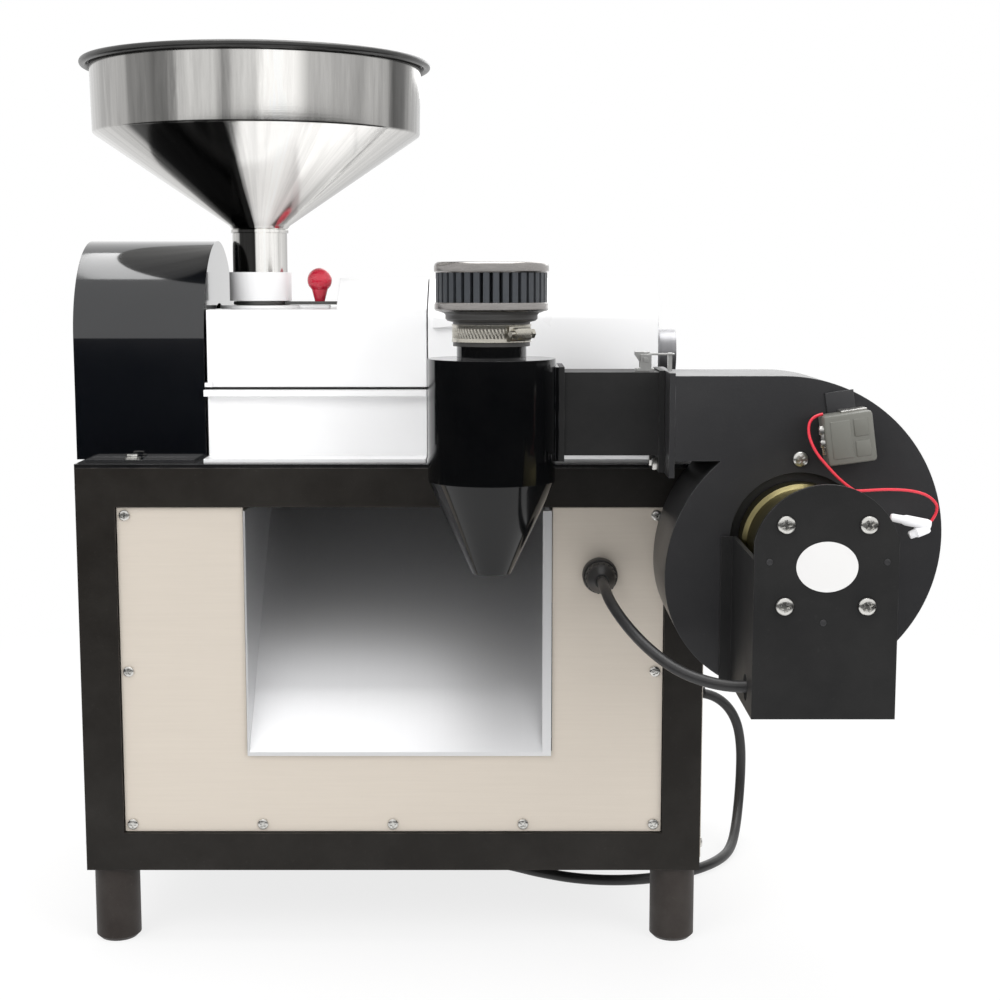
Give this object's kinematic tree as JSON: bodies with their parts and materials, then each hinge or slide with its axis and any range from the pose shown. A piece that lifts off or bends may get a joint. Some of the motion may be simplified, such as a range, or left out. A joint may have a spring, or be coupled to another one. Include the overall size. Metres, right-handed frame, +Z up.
{
  "type": "coffee bean huller",
  "caption": "Bench coffee bean huller: tube stand, screw-fed hulling head under a hinged cover and funnel, belt guard, fan, cyclone and chute.",
  "frame": {"origin": "centre of the machine's footprint box on the floor", "axes": "+Z up, -Y towards the bean chute's mouth, +X towards the fan"},
  "size_m": [0.6444, 0.5414, 0.691],
  "materials": {
    "stand_paint": "satin black powder coat",
    "foot_rubber": "black rubber",
    "black_paint": "gloss black paint",
    "stainless_sheet": "brushed stainless sheet",
    "polished_steel": "polished stainless",
    "chute_sheet": "pale stainless sheet",
    "white_paint": "white powder coat",
    "zinc": "zinc plated",
    "yellow_zinc": "yellow passivated zinc",
    "cast_metal": "machined iron",
    "motor_paint": "grey blue enamel",
    "wheel_plastic": "black moulded nylon",
    "gasket_foam": "dark sealing strip",
    "belt_rubber": "black rubber",
    "red_plastic": "gloss red",
    "filter_metal": "dark plated",
    "filter_felt": "pleated dark gauze",
    "capacitor_case": "grey moulded case",
    "gland_plastic": "black nylon",
    "rocker_plastic": "red rocker",
    "cord_sheath": "black flexible sheath",
    "plug_plastic": "black moulded plug",
    "lead_red": "red insulation",
    "sleeve_white": "white crimp sleeves"
  },
  "bodies": {
    "root": {"front_frame": "stand_paint", "rear_frame": "stand_paint", "side_rails": "stand_paint", "feet": "foot_rubber", "belt_guard": "black_paint", "cyclone_body": "black_paint", "outlet_duct": "black_paint", "fan_scroll": "black_paint", "scroll_front_plate": "black_paint", "motor_bracket": "black_paint", "suction_duct": "black_paint", "deck_plate": "black_paint", "front_panel": "stainless_sheet", "left_panel": "stainless_sheet", "right_panel": "stainless_sheet", "rear_panel": "stainless_sheet", "hose_clamp": "polished_steel", "chute": "chute_sheet", "lower_casing": "white_paint", "discharge_box": "white_paint", "panel_screws": "zinc", "fasteners": "zinc", "latch_plates": "zinc", "hulling_screen": "zinc", "feed_trough": "zinc", "fan_motor": "yellow_zinc", "shaft_bearings": "cast_metal", "main_motor": "motor_paint", "motor_plate": "motor_paint", "cover_gasket": "gasket_foam", "drive_belts": "belt_rubber", "filter_frame": "filter_metal", "filter_element": "filter_felt", "capacitor": "capacitor_case", "cable_glands": "gland_plastic", "switch_case": "gland_plastic", "mains_cord": "cord_sheath", "cord_coil": "cord_sheath", "fan_cable": "cord_sheath", "mains_plug": "plug_plastic", "red_leads": "lead_red", "wire_connectors": "sleeve_white"},
    "main_rotor": {"hulling_shaft": "zinc", "head_pulley": "cast_metal", "feed_screw": "cast_metal", "hulling_roller": "cast_metal"},
    "motor_rotor": {"motor_shaft": "zinc", "motor_pulley": "cast_metal"},
    "fan_rotor": {"fan_impeller": "wheel_plastic"},
    "cover": {"upper_cover": "white_paint", "upper_liner": "zinc", "hulling_blade": "zinc", "feed_spout": "white_paint"},
    "hopper_body": {"hopper": "polished_steel"},
    "gate": {"gate_plate": "zinc", "gate_knob": "red_plastic"},
    "flap": {"outlet_flap": "zinc"},
    "latch": {"latch_lever": "zinc"},
    "loop": {"latch_loop": "zinc"},
    "rocker": {"switch_rocker": "rocker_plastic"}
  },
  "joints": [
    {"name": "head_shaft_spin", "type": "hinge", "parent": "root", "child": "main_rotor", "pos_m": [-0.0723, 0.04665, 0.46], "axis": [1, 0, 0], "continuous": true},
    {"name": "motor_shaft_spin", "type": "hinge", "parent": "root", "child": "motor_rotor", "pos_m": [-0.0723, 0.12665, 0.176], "axis": [1, 0, 0], "continuous": true},
    {"name": "fan_spin", "type": "hinge", "parent": "root", "child": "fan_rotor", "pos_m": [0.2217, -0.06335, 0.3365], "axis": [0, 1, 0], "continuous": true},
    {"name": "cover_hinge", "type": "hinge", "parent": "root", "child": "cover", "pos_m": [-0.0723, 0.13465, 0.4385], "axis": [-1, 0, 0], "range_deg": [0, 65]},
    {"name": "hopper_lift", "type": "slide", "parent": "cover", "child": "hopper_body", "axis": [0, 0, 1], "range_m": [0, 0.03]},
    {"name": "gate_swing", "type": "hinge", "parent": "cover", "child": "gate", "pos_m": [-0.1353, 0.04665, 0.5], "axis": [0, 0, 1], "range_deg": [0, 60]},
    {"name": "outlet_flap_turn", "type": "hinge", "parent": "root", "child": "flap", "pos_m": [-0.0323, 0.04665, 0.486], "axis": [0, 1, 0], "range_deg": [0, 25]},
    {"name": "latch_lever_turn", "type": "hinge", "parent": "root", "child": "latch", "pos_m": [0.1177, -0.10035, 0.461], "axis": [0, 1, 0], "range_deg": [0, 90]},
    {"name": "latch_loop_turn", "type": "hinge", "parent": "latch", "child": "loop", "pos_m": [0.1177, -0.10035, 0.465], "axis": [0, 1, 0], "range_deg": [-90, 0]},
    {"name": "switch_rock", "type": "hinge", "parent": "root", "child": "rocker", "pos_m": [0.1697, 0.02665, 0.3], "axis": [0, 1, 0], "range_deg": [0, 12]}
  ],
  "couplings": [
    {"joint": "motor_shaft_spin", "follows": "head_shaft_spin", "ratio": 1.6897},
    {"joint": "latch_loop_turn", "follows": "latch_lever_turn", "ratio": -1}
  ]
}
